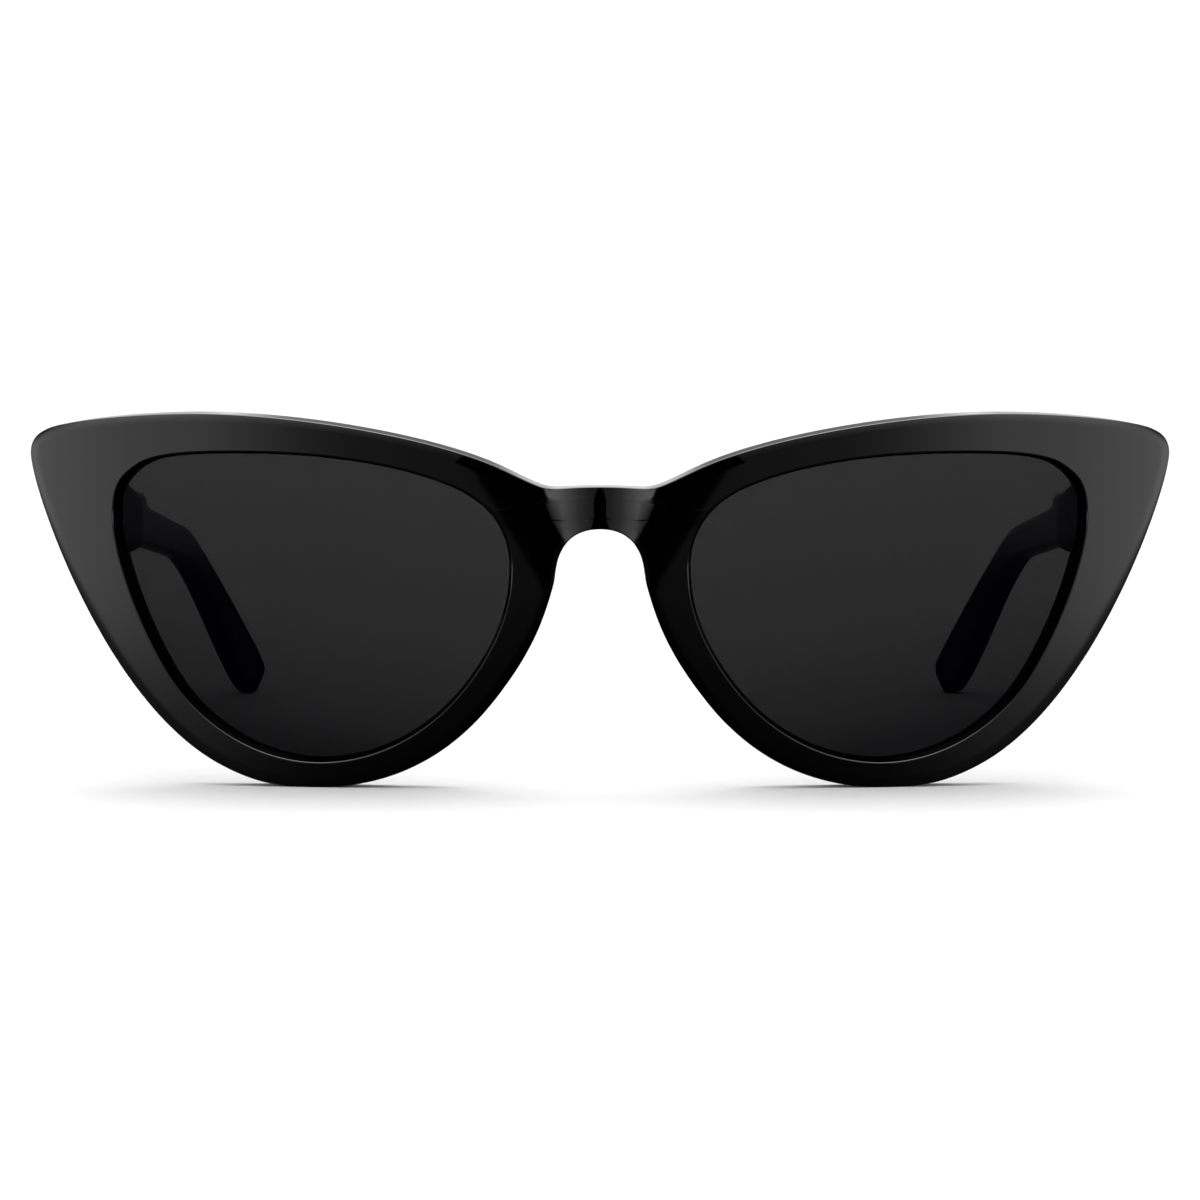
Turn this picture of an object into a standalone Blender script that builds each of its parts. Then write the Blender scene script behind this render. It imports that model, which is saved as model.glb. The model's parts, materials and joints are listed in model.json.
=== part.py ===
"""Cat eye sunglasses: acetate front and temples, tinted lenses, cemented nose pads, five-barrel hinges.

Sizes are in millimetres and angles in degrees; MM turns a finished mesh into metres. In the front's own
frame X runs to the wearer's left, Y from the face of the front to its back, and Z up. Left is modelled
and right is its mirror image.
"""

import math

import bmesh
import bpy
import numpy as np
from mathutils import Matrix, Vector

MM = 0.001
SIDES = (("left", 1), ("right", -1))

# Lens shape and the distance between the lenses
LENS_WIDTH = 50.7
LENS_HEIGHT = 38.75
BRIDGE_WIDTH = 23.0

# Lens
LENS_THICKNESS = 2.0
LENS_SET_BACK = 1.5
LENS_BULGE = 1.1
BEVEL_REACH = 0.6

# Front: rims, bridge and pointed corners round the lens shape
FRONT_THICKNESS = 4.4
FACE_RADIUS = 270.0
RIM_TOP = 5.1
RIM_BOTTOM = 3.55
RIM_NASAL = 5.55
RIM_TEMPORAL = 4.75
CORNER_REACH = 11.4
BRIDGE_DROP = 3.9
BRIDGE_HEIGHT = 5.35
EDGE_EASING = 0.3
OPENING_FLARE = 0.5
BACK_FLARE = 0.2
SCOOP_RADIUS = 19.0
SCOOP_DEPTH = 0.9
SCOOP_LEAN = 6.8

# Nose pads
PAD_HEIGHT = 4.4
PAD_WIDTH = 3.9
PAD_INSET = 0.4
PAD_SPLAY = 0.25

# Temples
CORNER_OVERHANG = 8.3
TEMPLE_THICKNESS = 3.4
TEMPLE_BUTT_HEIGHT = 9.4
TEMPLE_TOP_DROP = 4.45
TEMPLE_SLOPE = 7.4
TEMPLE_STRAIGHT = 90.0
EAR_LENGTH = 30.8
EAR_DROP = 23.3
EAR_INWARD = 8.6
TIP_STEEPNESS = 45.0
TIP_HEIGHT = 6.0

# Core wire in each temple
WIRE_THICKNESS = 0.9
WIRE_HEIGHT = 2.0
WIRE_OUTWARD = 0.4
WIRE_STOP = 11.0

# End blocks behind the corners
BLOCK_DEPTH = 7.3
BLOCK_INWARD = 2.4
BLOCK_FOOT = 2.6
BLOCK_LIFT = 0.6
BLOCK_CORNER_CUT = 2.9
BLOCK_ROUNDING = 1.7

# Hinges
PIN_INWARD = 0.7
BARREL_STANDOFF = 0.25
BARREL_RADIUS = 1.45
BARREL_COUNT = 5
HINGE_HEIGHT = 5.8
HINGE_DROP = 0.55
LEAF_THICKNESS = 1.1
FRONT_LEAF_LENGTH = 5.5
TEMPLE_LEAF_LENGTH = 9.5
SCREW_RADIUS = 0.6
HEAD_RADIUS = 1.05
HEAD_HEIGHT = 0.55

# Clearances
GLUE_GAP = 0.05
LENS_GAP = 0.06
BUTT_GAP = 0.06
INLAY_GAP = 0.1
BARREL_GAP = 0.06
PIN_GAP = 0.05
SWING_GAP = 0.2

# Mesh fineness
OUTLINE_STEPS = 8
STRIP_WIDTH = 5.0

# Lens outline: share of lens width, share of lens height, heading, and how far the curve keeps to that
# heading before and after the point, as shares of the lens width
LENS_POINTS = (
    (0.647, 1.0, 0, 0.227, 0.122),
    (0.939, 0.952, -35, 0.059, 0.049),
    (1.0, 0.786, -90, 0.079, 0.126),
    (0.815, 0.199, -132, 0.120, 0.124),
    (0.485, 0.0, -180, 0.126, 0.141),
    (0.081, 0.311, 123, 0.201, 0.108),
    (0.0, 0.636, 90, 0.079, 0.095),
    (0.136, 0.892, 24, 0.089, 0.118),
)


def lens_spot(across, up, outward=0.0, above=0.0):
    """A point given by its shares of the left lens shape's width and height, then moved by two sizes."""
    x = BRIDGE_WIDTH / 2 + across * LENS_WIDTH + outward
    z = RIM_BOTTOM + up * LENS_HEIGHT + above
    return (x, z)


def front_points():
    """The left half of the front's outline, from the bridge's top round to its underside."""
    bridge_top = RIM_BOTTOM + LENS_HEIGHT - BRIDGE_DROP
    return (
        (0.0, bridge_top, 0, 0.0, 0.15),
        (*lens_spot(0, 0, 0.6, bridge_top + 2.2 - RIM_BOTTOM), 25.5, 0.149, 0.182),
        (*lens_spot(0.77, 1, 0, RIM_TOP), 0, 0.256, 0.171),
        (*lens_spot(1, 1, CORNER_REACH - 2.6, RIM_TOP - 2.1), -22, 0.050, 0.024),
        (*lens_spot(1, 0.979, CORNER_REACH, 0), -97, 0.051, 0.067),
        (*lens_spot(1, 0.52, RIM_TEMPORAL, 0), -117.4, 0.155, 0.166),
        (*lens_spot(0.719, 0, 0, 2.3 - RIM_BOTTOM), -155, 0.189, 0.093),
        (*lens_spot(0.491, 0, 0, -RIM_BOTTOM), -180, 0.093, 0.187),
        (*lens_spot(0, 0.2, 7.45 - RIM_NASAL, 0), 128, 0.184, 0.132),
        (*lens_spot(0, 0.574, -RIM_NASAL, 0), 105, 0.110, 0.033),
        (0.0, bridge_top - BRIDGE_HEIGHT, 180, 0.116, 0.0),
    )


def heading(degrees):
    return Vector((math.cos(math.radians(degrees)), math.sin(math.radians(degrees))))


def bezier(start, leave, arrive, end, share):
    rest = 1 - share
    return (
        rest**3 * start
        + 3 * rest * rest * share * leave
        + 3 * rest * share * share * arrive
        + share**3 * end
    )


def curve_between(first, second, steps):
    """Points from the first outline point up to the second, which is left out."""
    start = Vector(first[:2])
    end = Vector(second[:2])
    leave = start + heading(first[2]) * first[4] * LENS_WIDTH
    arrive = end - heading(second[2]) * second[3] * LENS_WIDTH
    return [bezier(start, leave, arrive, end, step / steps) for step in range(steps)]


def lens_points():
    return [(*lens_spot(point[0], point[1]), *point[2:]) for point in LENS_POINTS]


def lens_outline():
    points = lens_points()
    outline = []
    for first, second in zip(points, points[1:] + points[:1]):
        outline += curve_between(first, second, OUTLINE_STEPS)
    return outline


def front_outline():
    """The whole outline of the front, clockwise from the bridge's top."""
    points = front_points()
    half = []
    for first, second in zip(points, points[1:]):
        half += curve_between(first, second, OUTLINE_STEPS)
    half.append(Vector(points[-1][:2]))
    return half + [Vector((-point.x, point.y)) for point in reversed(half[1:-1])]


def grown(outline, distance):
    """A clockwise outline moved outwards by a distance."""
    moved = []
    for index, point in enumerate(outline):
        after = outline[(index + 1) % len(outline)]
        along = (after - outline[index - 1]).normalized()
        moved.append(point + Vector((-along.y, along.x)) * distance)
    return moved


def ring_at(outline, depth):
    return [Vector((point.x, depth, point.y)) for point in outline]


def bent(point):
    """A point of the flat front, once the front is curved round an upright axis behind it."""
    angle = point.x / FACE_RADIUS
    reach = FACE_RADIUS - point.y
    return Vector((reach * math.sin(angle), FACE_RADIUS - reach * math.cos(angle), point.z))


def back_face_depth(x):
    """How deep the curved front's back face lies at a distance from the middle."""
    return FACE_RADIUS - math.sqrt((FACE_RADIUS - FRONT_THICKNESS) ** 2 - x * x)


def loft(rings, first_pole=None, last_pole=None):
    """A closed skin through rings of equally many points, with flat or pointed ends."""
    skin = bmesh.new()
    rows = [[skin.verts.new(point) for point in ring] for ring in rings]
    for row, following in zip(rows, rows[1:]):
        for index in range(len(row)):
            near = (index + 1) % len(row)
            skin.faces.new((row[index], row[near], following[near], following[index]))
    for row, pole in ((rows[0], first_pole), (rows[-1], last_pole)):
        if pole is None:
            skin.faces.new(row)
            continue
        tip = skin.verts.new(pole)
        for index, corner in enumerate(row):
            skin.faces.new((corner, row[(index + 1) % len(row)], tip))
    bmesh.ops.recalc_face_normals(skin, faces=skin.faces)
    return skin


def box(low, high):
    low = Vector(low)
    high = Vector(high)
    skin = bmesh.new()
    middle = Matrix.Translation((low + high) / 2)
    bmesh.ops.create_cube(skin, size=1.0, matrix=middle @ Matrix.Diagonal((*(high - low), 1.0)))
    return skin


def cylinder(radius, bottom, top, steps=24):
    """A cylinder that stands on the point bottom and ends at the point top."""
    bottom = Vector(bottom)
    top = Vector(top)
    along = top - bottom
    turn = along.to_track_quat("Z", "Y").to_matrix().to_4x4()
    skin = bmesh.new()
    bmesh.ops.create_cone(
        skin,
        cap_ends=True,
        segments=steps,
        radius1=radius,
        radius2=radius,
        depth=along.length,
        matrix=Matrix.Translation((bottom + top) / 2) @ turn,
    )
    return skin


def combined(skin, others, operation):
    """The skin after it is joined with, or cut by, each of the others."""
    scene = bpy.context.scene
    body = bpy.data.objects.new("body", bpy.data.meshes.new("body"))
    skin.to_mesh(body.data)
    scene.collection.objects.link(body)
    helpers = [body]
    for other in others:
        tool = bpy.data.objects.new("tool", bpy.data.meshes.new("tool"))
        other.to_mesh(tool.data)
        scene.collection.objects.link(tool)
        step = body.modifiers.new("step", "BOOLEAN")
        step.operation = operation
        step.solver = "EXACT"
        step.object = tool
        helpers.append(tool)
    bpy.context.view_layer.update()
    result = bmesh.new()
    result.from_object(body, bpy.context.evaluated_depsgraph_get())
    for helper in helpers:
        bpy.data.objects.remove(helper)
    return result


def cut(skin, *others):
    return combined(skin, others, "DIFFERENCE")


def join(skin, *others):
    return combined(skin, others, "UNION")


def material(name, colour, roughness, metallic=0.0):
    finish = bpy.data.materials.new(name)
    finish.use_nodes = True
    shader = finish.node_tree.nodes["Principled BSDF"]
    shader.inputs["Base Color"].default_value = (*colour, 1.0)
    shader.inputs["Roughness"].default_value = roughness
    shader.inputs["Metallic"].default_value = metallic
    return finish


def place(name, skin, finish, parent, pivot=(0, 0, 0), side=1):
    """Makes an object of a skin modelled on the left, mirrored for the right, about its parent's point."""
    skin = skin.copy()
    bmesh.ops.translate(skin, verts=skin.verts, vec=-Vector(pivot))
    bmesh.ops.scale(skin, verts=skin.verts, vec=(side * MM, MM, MM))
    if side < 0:
        bmesh.ops.reverse_faces(skin, faces=skin.faces)
    mesh = bpy.data.meshes.new(name)
    skin.to_mesh(mesh)
    mesh.shade_smooth()
    mesh.set_sharp_from_angle(angle=math.radians(30))
    mesh.materials.append(finish)
    piece = bpy.data.objects.new(name, mesh)
    piece.parent = parent
    bpy.context.scene.collection.objects.link(piece)
    return piece


def lens_cutter():
    """The space that the left lens and its view take out of the flat front, with the bevel's groove."""
    outline = lens_outline()
    back = LENS_SET_BACK + LENS_THICKNESS
    slope = OPENING_FLARE / LENS_SET_BACK
    return loft(
        [
            ring_at(grown(outline, OPENING_FLARE + slope), -1.0),
            ring_at(outline, LENS_SET_BACK),
            ring_at(grown(outline, BEVEL_REACH + LENS_GAP), LENS_SET_BACK + LENS_THICKNESS / 2),
            ring_at(outline, back),
            ring_at(grown(outline, 2 * BACK_FLARE), 2 * FRONT_THICKNESS - back),
        ]
    )


def scoop_cutter():
    """The leaning cylinder that hollows the bridge's face."""
    middle = RIM_BOTTOM + LENS_HEIGHT - BRIDGE_DROP - BRIDGE_HEIGHT / 2
    lean = Vector((0, math.sin(math.radians(SCOOP_LEAN)), math.cos(math.radians(SCOOP_LEAN))))
    centre = Vector((0, SCOOP_DEPTH - SCOOP_RADIUS, middle))
    reach = 2 * BRIDGE_HEIGHT + RIM_TOP
    return cylinder(SCOOP_RADIUS, centre - lean * reach, centre + lean * reach, steps=96)


def mirrored(skin):
    other = skin.copy()
    bmesh.ops.scale(other, verts=other.verts, vec=(-1, 1, 1))
    bmesh.ops.reverse_faces(other, faces=other.faces)
    return other


def curve_round(skin):
    """Cuts a flat skin into upright strips and curves it as the front is curved."""
    widest = max(vert.co.x for vert in skin.verts)
    strips = int(widest // STRIP_WIDTH)
    for strip in range(-strips, strips + 1):
        bmesh.ops.bisect_plane(
            skin,
            geom=skin.verts[:] + skin.edges[:] + skin.faces[:],
            plane_co=(strip * STRIP_WIDTH, 0, 0),
            plane_no=(1, 0, 0),
        )
    for vert in skin.verts:
        vert.co = bent(vert.co)


def front_frame():
    outline = front_outline()
    slab = loft(
        [
            ring_at(grown(outline, -EDGE_EASING), 0),
            ring_at(outline, EDGE_EASING),
            ring_at(outline, FRONT_THICKNESS - EDGE_EASING),
            ring_at(grown(outline, -EDGE_EASING), FRONT_THICKNESS),
        ]
    )
    opening = lens_cutter()
    skin = cut(slab, opening, mirrored(opening), scoop_cutter())
    curve_round(skin)
    return skin


def lens():
    """The left lens: domed faces, and an edge bevelled to sit in the rim's groove."""
    outline = grown(lens_outline(), -LENS_GAP)
    middle = sum((Vector(point) for point in outline), Vector((0, 0))) / len(outline)
    front = LENS_SET_BACK + LENS_GAP
    back = LENS_SET_BACK + LENS_THICKNESS - LENS_GAP

    def face(share, depth):
        ring = [middle.lerp(point, share) for point in outline]
        return ring_at(ring, depth - LENS_BULGE * (1 - share * share))

    shares = (0.3, 0.6, 0.85, 1.0)
    rings = [face(share, front) for share in shares]
    rings.append(ring_at(grown(outline, BEVEL_REACH), (front + back) / 2))
    rings += [face(share, back) for share in reversed(shares)]
    poles = [Vector((middle.x, depth - LENS_BULGE, middle.y)) for depth in (front, back)]
    skin = loft(rings, *poles)
    for vert in skin.verts:
        vert.co = bent(vert.co)
    return skin


def nose_pad():
    """The left nose pad: a splayed hump that follows the rim's nasal edge on the back of the front."""
    points = front_points()
    path = curve_between(points[8], points[9], 14)[1:]
    rings = []
    for index, point in enumerate(path[1:-1], start=1):
        along = (path[index + 1] - path[index - 1]).normalized()
        inward = Vector((along.y, -along.x))
        swell = math.sin(math.pi * index / (len(path) - 1))
        height = PAD_HEIGHT * swell**0.7
        width = PAD_WIDTH * (0.6 + 0.4 * swell)
        ring = []
        for step in range(9):
            angle = math.pi * step / 8
            rise = height * math.sin(angle)
            reach = PAD_INSET + width * (1 - math.cos(angle)) / 2 + PAD_SPLAY * rise
            spot = point + inward * reach
            ring.append(bent(Vector((spot.x, FRONT_THICKNESS + GLUE_GAP + rise, spot.y))))
        rings.append(ring)
    return loft(rings)


def temple_inside():
    """How far the left temple's inner face lies from the middle, counted in from the curved corner."""
    corner = Vector((lens_spot(1, 1, CORNER_REACH)[0], 0, 0))
    return bent(corner).x - CORNER_OVERHANG - TEMPLE_THICKNESS


def block_back():
    """How deep the back of the end blocks lies, which the butts of the temples close against."""
    return back_face_depth(temple_inside()) + BLOCK_DEPTH


def butt_middle():
    """The middle of the left temple's butt face."""
    top = RIM_BOTTOM + LENS_HEIGHT - TEMPLE_TOP_DROP
    x = temple_inside() + TEMPLE_THICKNESS / 2
    return Vector((x, block_back() + BUTT_GAP, top - TEMPLE_BUTT_HEIGHT / 2))


def hinge_point():
    """The middle of the left hinge's pin axis, which is upright in the front's frame."""
    behind = BARREL_RADIUS + BARREL_STANDOFF
    level = butt_middle().z - HINGE_DROP
    return Vector((temple_inside() - PIN_INWARD, block_back() + behind, level))


def temple_path():
    """Points along the left temple's middle, each with its share of the whole length."""
    down = math.tan(math.radians(TEMPLE_SLOPE))
    start = butt_middle()
    bend = start + Vector((0, TEMPLE_STRAIGHT, -TEMPLE_STRAIGHT * down))
    end = bend + Vector((-EAR_INWARD, EAR_LENGTH, -EAR_DROP))
    straight = Vector((0, 1, -down))
    dip = math.tan(math.radians(TIP_STEEPNESS))
    arriving = Vector((-0.45, 1, -dip)).normalized()
    leave = bend + straight * EAR_LENGTH * 0.9
    arrive = end - arriving * EAR_LENGTH * 0.2
    path = [start.lerp(bend, step / 12) for step in range(12)]
    path += [bezier(bend, leave, arrive, end, step / 12) for step in range(13)]
    runs = [0.0]
    for first, second in zip(path, path[1:]):
        runs.append(runs[-1] + (second - first).length)
    return [(point, run / runs[-1]) for point, run in zip(path, runs)]


def temple_height(share):
    """The temple is deep at the hinge, slim over the ear and fuller again at the tip."""
    slim = TIP_HEIGHT * 0.8
    shares = (0.0, 0.06, 0.14, 0.30, 0.62, 0.85, 1.0)
    heights = (
        TEMPLE_BUTT_HEIGHT,
        TEMPLE_BUTT_HEIGHT * 0.86,
        TEMPLE_BUTT_HEIGHT * 0.64,
        TEMPLE_BUTT_HEIGHT * 0.55,
        slim,
        slim * 1.05,
        TIP_HEIGHT,
    )
    return float(np.interp(share, shares, heights))


def path_frames():
    """Each path point with its share, heading, and the section's outward and upward directions."""
    path = temple_path()
    frames = []
    for index, (point, share) in enumerate(path):
        before = path[max(index - 1, 0)][0]
        after = path[min(index + 1, len(path) - 1)][0]
        along = (after - before).normalized()
        outward = Vector((along.y, -along.x, 0)).normalized()
        square = outward.cross(along).normalized()
        upward = Vector((0, 0, 1)).lerp(square, min(1.0, share / 0.1)).normalized()
        frames.append((point, share, along, outward, upward))
    return frames


def section(width, height, radius):
    """Corners of a rounded rectangle, each rounded by three points."""
    ring = []
    for quarter in range(4):
        across = 1 if quarter in (0, 3) else -1
        up = 1 if quarter in (0, 1) else -1
        for step in range(3):
            turn = math.radians(90 * quarter + 45 * step)
            x = across * (width / 2 - radius) + radius * math.cos(turn)
            z = up * (height / 2 - radius) + radius * math.sin(turn)
            ring.append((x, z))
    return ring


def swept(point, outward, upward, ring):
    return [point + outward * x + upward * z for x, z in ring]


def temple():
    """The left temple, with a channel for its core wire that opens at the butt."""
    frames = path_frames()
    rings = []
    for point, share, _, outward, upward in frames:
        ring = section(TEMPLE_THICKNESS, temple_height(share), TEMPLE_THICKNESS * 0.3)
        rings.append(swept(point, outward, upward, ring))
    point, share, along, outward, upward = frames[-1]
    for angle in (30, 55, 75, 87):
        shrink = math.cos(math.radians(angle))
        step = along * math.sin(math.radians(angle)) * TIP_HEIGHT / 2
        ring = section(TEMPLE_THICKNESS * shrink, TIP_HEIGHT * shrink, TEMPLE_THICKNESS * 0.3 * shrink)
        rings.append(swept(point + step, outward, upward, ring))
    skin = loft(rings)
    channel = loft(wire_rings(INLAY_GAP, butt_reach=1.0, end_reach=INLAY_GAP))
    inside = temple_inside()
    hinge = hinge_point()
    half = HINGE_HEIGHT / 2 + INLAY_GAP
    leaf = box(
        (inside - 1.0, hinge.y, hinge.z - half),
        (
            inside + LEAF_THICKNESS + INLAY_GAP,
            hinge.y + TEMPLE_LEAF_LENGTH + INLAY_GAP,
            hinge.z + half,
        ),
    )
    tall = Vector((0, 0, TEMPLE_BUTT_HEIGHT))
    pocket = cylinder(BARREL_RADIUS + SWING_GAP, hinge - tall, hinge + tall)
    return cut(skin, channel, leaf, pocket)


def wire_rings(gap, butt_reach, end_reach):
    """Sections of the core wire, or of its channel, which is larger by the gap on every side."""
    frames = [frame for frame in path_frames() if frame[1] * wire_run() <= wire_run() - WIRE_STOP]
    rings = []
    for index, (point, _, along, outward, upward) in enumerate(frames):
        middle = point + outward * WIRE_OUTWARD
        if index == 0:
            middle -= along * butt_reach
        if index == len(frames) - 1:
            middle += along * end_reach
        ring = section(WIRE_THICKNESS + 2 * gap, WIRE_HEIGHT + 2 * gap, WIRE_THICKNESS * 0.25)
        rings.append(swept(middle, outward, upward, ring))
    return rings


def wire_run():
    """The length of the temple's path."""
    path = [point for point, _ in temple_path()]
    return sum((second - first).length for first, second in zip(path, path[1:]))


def core_wire():
    return loft(wire_rings(0.0, butt_reach=-0.2, end_reach=0.0))


def block_outline(width):
    """The end block's section from its inner side: cut away above the hinge and rounded below it."""
    top = TEMPLE_BUTT_HEIGHT / 2
    bottom = BLOCK_LIFT - top
    easing = TEMPLE_THICKNESS * 0.3
    outline = [
        (0.0, top - BLOCK_CORNER_CUT),
        (BLOCK_CORNER_CUT, top),
        (width - easing, top),
        (width, top - easing),
        (width, bottom + easing),
        (width - easing, bottom),
    ]
    for step in range(5):
        turn = math.radians(90 * step / 4)
        across = BLOCK_ROUNDING * (1 - math.sin(turn))
        outline.append((across, bottom + BLOCK_ROUNDING * (1 - math.cos(turn))))
    return outline


def end_block():
    """The left end block: its foot, shaped to the front's curved back, spreads over the rim, and its back
    has a mortise for the hinge leaf."""
    middle = butt_middle()
    inner = temple_inside() - BLOCK_INWARD
    outer = temple_inside() + TEMPLE_THICKNESS
    width = outer - inner
    front = []
    back = []
    for x, z in block_outline(width):
        spot = inner + x
        foot = spot + BLOCK_FOOT * x / width
        front.append(Vector((foot, back_face_depth(foot) + GLUE_GAP, middle.z + z)))
        back.append(Vector((spot, block_back(), middle.z + z)))
    hinge = hinge_point()
    half = HINGE_HEIGHT / 2 + INLAY_GAP
    side = LEAF_THICKNESS / 2 + INLAY_GAP
    mortise = box(
        (hinge.x - side, block_back() - FRONT_LEAF_LENGTH - INLAY_GAP, hinge.z - half),
        (hinge.x + side, block_back() + 1.0, hinge.z + half),
    )
    return cut(loft([front, back]), mortise)


def barrel_span(index):
    """Lowest and highest level of one of the hinge's barrels, counted from the bottom."""
    pitch = HINGE_HEIGHT / BARREL_COUNT
    bottom = hinge_point().z - HINGE_HEIGHT / 2 + index * pitch
    return (bottom + BARREL_GAP / 2, bottom + pitch - BARREL_GAP / 2)


def leaf(plate, arm_low, arm_high, barrels):
    """A hinge leaf: its plate, and for each of its barrels an arm and a ring round the screw."""
    hinge = hinge_point()
    parts = []
    for index in barrels:
        low, high = barrel_span(index)
        foot = Vector((hinge.x, hinge.y, low))
        top = Vector((hinge.x, hinge.y, high))
        parts.append(cylinder(BARREL_RADIUS, foot, top))
        parts.append(box((arm_low[0], arm_low[1], low), (arm_high[0], arm_high[1], high)))
    whole = join(plate, *parts)
    tall = Vector((0, 0, HINGE_HEIGHT))
    return cut(whole, cylinder(SCREW_RADIUS + PIN_GAP, hinge - tall, hinge + tall))


def front_leaf():
    """The leaf in the left end block, with the outer and middle barrels."""
    hinge = hinge_point()
    half = HINGE_HEIGHT / 2
    side = LEAF_THICKNESS / 2
    edge = hinge.y - BARREL_RADIUS - SWING_GAP
    plate = box(
        (hinge.x - side, block_back() - FRONT_LEAF_LENGTH, hinge.z - half),
        (hinge.x + side, edge, hinge.z + half),
    )
    low = (hinge.x - side, edge - LEAF_THICKNESS)
    high = (hinge.x + side, hinge.y)
    return leaf(plate, low, high, range(0, BARREL_COUNT, 2))


def temple_leaf():
    """The leaf let into the left temple's inner face, with the two barrels in between."""
    hinge = hinge_point()
    half = HINGE_HEIGHT / 2
    inside = temple_inside()
    edge = hinge.y + BARREL_RADIUS + SWING_GAP
    plate = box(
        (inside, edge, hinge.z - half),
        (inside + LEAF_THICKNESS, hinge.y + TEMPLE_LEAF_LENGTH, hinge.z + half),
    )
    low = (inside - LEAF_THICKNESS / 2, hinge.y)
    high = (inside + LEAF_THICKNESS / 2, edge + LEAF_THICKNESS)
    return leaf(plate, low, high, range(1, BARREL_COUNT, 2))


def hinge_screw():
    """The left hinge's screw: a round head on top of the barrels, and a shank through them."""
    hinge = hinge_point()
    top = barrel_span(BARREL_COUNT - 1)[1] + BARREL_GAP / 2
    bottom = barrel_span(0)[0]
    levels = (
        (bottom, SCREW_RADIUS),
        (top, SCREW_RADIUS),
        (top, HEAD_RADIUS),
        (top + HEAD_HEIGHT * 0.6, HEAD_RADIUS),
        (top + HEAD_HEIGHT, HEAD_RADIUS * 0.75),
    )
    rings = []
    for level, radius in levels:
        angles = [2 * math.pi * step / 24 for step in range(24)]
        rings.append(
            [
                Vector((hinge.x + radius * math.cos(angle), hinge.y + radius * math.sin(angle), level))
                for angle in angles
            ]
        )
    return loft(rings)


def lowest(spots, lean):
    """The lowest level of spots, as Y and Z pairs, once they are leant about X."""
    return float((spots[:, 0] * math.sin(lean) + spots[:, 1] * math.cos(lean)).min())


def resting_lean(front, arm):
    """How far the glasses lean so that the rims and the temple tips stand on one level."""
    front = np.array([(vert.co.y, vert.co.z) for vert in front.verts])
    arm = np.array([(vert.co.y, vert.co.z) for vert in arm.verts])
    least, most = math.radians(-20), math.radians(20)
    for _ in range(50):
        lean = (least + most) / 2
        if lowest(arm, lean) < lowest(front, lean):
            least = lean
        else:
            most = lean
    return lean


def empty(name, parent=None, location=(0, 0, 0)):
    point = bpy.data.objects.new(name, None)
    point.parent = parent
    point.location = Vector(location) * MM
    bpy.context.scene.collection.objects.link(point)
    return point


def build():
    for leftover in list(bpy.data.objects):
        bpy.data.objects.remove(leftover)

    acetate = material("black_acetate", (0.004, 0.004, 0.004), 0.08)
    pad_acetate = material("pad_acetate", (0.005, 0.005, 0.005), 0.2)
    tint = material("grey_tint", (0.012, 0.012, 0.015), 0.03)
    nickel = material("nickel_silver", (0.62, 0.60, 0.56), 0.3, 1.0)
    steel = material("screw_steel", (0.55, 0.55, 0.56), 0.25, 1.0)
    core = material("core_metal", (0.55, 0.52, 0.47), 0.4, 1.0)

    stand = empty("stand")
    front = front_frame()
    arm = temple()
    place("front_frame", front, acetate, stand)
    for side_name, side in SIDES:
        hinge = hinge_point()
        pivot = empty(f"{side_name}_hinge", stand, (side * hinge.x, hinge.y, hinge.z))
        for name, make, finish in (
            ("lens", lens, tint),
            ("nose_pad", nose_pad, pad_acetate),
            ("end_block", end_block, acetate),
        ):
            place(f"{side_name}_{name}", make(), finish, stand, side=side)
        for name, skin, finish in (
            ("front_leaf", front_leaf(), nickel),
            ("hinge_screw", hinge_screw(), steel),
            ("temple_leaf", temple_leaf(), nickel),
            ("temple", arm, acetate),
            ("core_wire", core_wire(), core),
        ):
            place(f"{side_name}_{name}", skin, finish, pivot, hinge, side)

    lean = resting_lean(front, arm)
    skins = np.array([(vert.co.y, vert.co.z) for vert in front.verts[:] + arm.verts[:]])
    depths = skins[:, 0] * math.cos(lean) - skins[:, 1] * math.sin(lean)
    stand.rotation_euler.x = lean
    stand.location.y = -MM * float(depths.min() + depths.max()) / 2
    stand.location.z = -MM * lowest(skins, lean)


build()
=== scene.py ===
"""Cat eye sunglasses: polished black acetate front and temples, smoke grey lenses, nickel silver hinges."""

import json
import math

import bmesh
import bpy
import numpy as np
from mathutils import Matrix, Vector


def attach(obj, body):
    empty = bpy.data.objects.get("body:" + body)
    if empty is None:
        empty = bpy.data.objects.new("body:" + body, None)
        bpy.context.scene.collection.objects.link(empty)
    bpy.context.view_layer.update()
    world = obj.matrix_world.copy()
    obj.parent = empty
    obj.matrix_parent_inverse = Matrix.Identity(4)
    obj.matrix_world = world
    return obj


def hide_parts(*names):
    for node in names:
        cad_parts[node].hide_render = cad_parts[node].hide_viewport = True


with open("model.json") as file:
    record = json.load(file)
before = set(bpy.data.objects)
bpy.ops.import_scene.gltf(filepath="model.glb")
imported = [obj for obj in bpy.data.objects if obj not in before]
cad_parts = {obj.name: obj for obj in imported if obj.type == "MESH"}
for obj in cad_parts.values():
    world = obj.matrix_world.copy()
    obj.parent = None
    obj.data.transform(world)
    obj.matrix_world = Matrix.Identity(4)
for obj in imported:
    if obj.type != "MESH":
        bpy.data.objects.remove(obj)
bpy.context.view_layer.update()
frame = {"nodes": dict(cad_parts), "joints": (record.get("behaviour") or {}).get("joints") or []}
bpy.ops.object.select_all(action="DESELECT")

# ---------------------------------------------------------------------------------------------------
# Front. One sheet of black acetate, milled to the outline of both rims, bridge and pointed corners, then
# bent warm round the face and polished. The rims hold the lenses in a V groove; the bridge is hollowed.
# ---------------------------------------------------------------------------------------------------

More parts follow.
